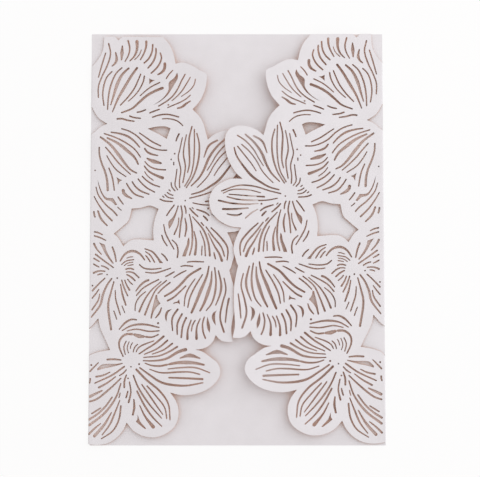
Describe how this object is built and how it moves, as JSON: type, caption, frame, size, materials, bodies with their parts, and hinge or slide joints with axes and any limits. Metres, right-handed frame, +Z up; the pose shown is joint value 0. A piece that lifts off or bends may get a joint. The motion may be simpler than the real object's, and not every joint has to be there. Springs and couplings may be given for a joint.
{
  "type": "pocket fold invitation",
  "caption": "Folded card wrap for an invitation: a plain back panel with two overlapping side flaps cut as flowers and leaves.",
  "frame": {"origin": "on the ground below the middle of the back panel", "axes": "+X to the right and +Y to the top of the card as it is read, +Z up, from the back panel to the flaps"},
  "size_m": [0.127, 0.178, 0.0052],
  "materials": {
    "pearl_card": "pearl"
  },
  "bodies": {
    "root": {"folded_wrap": "pearl_card"}
  },
  "joints": []
}
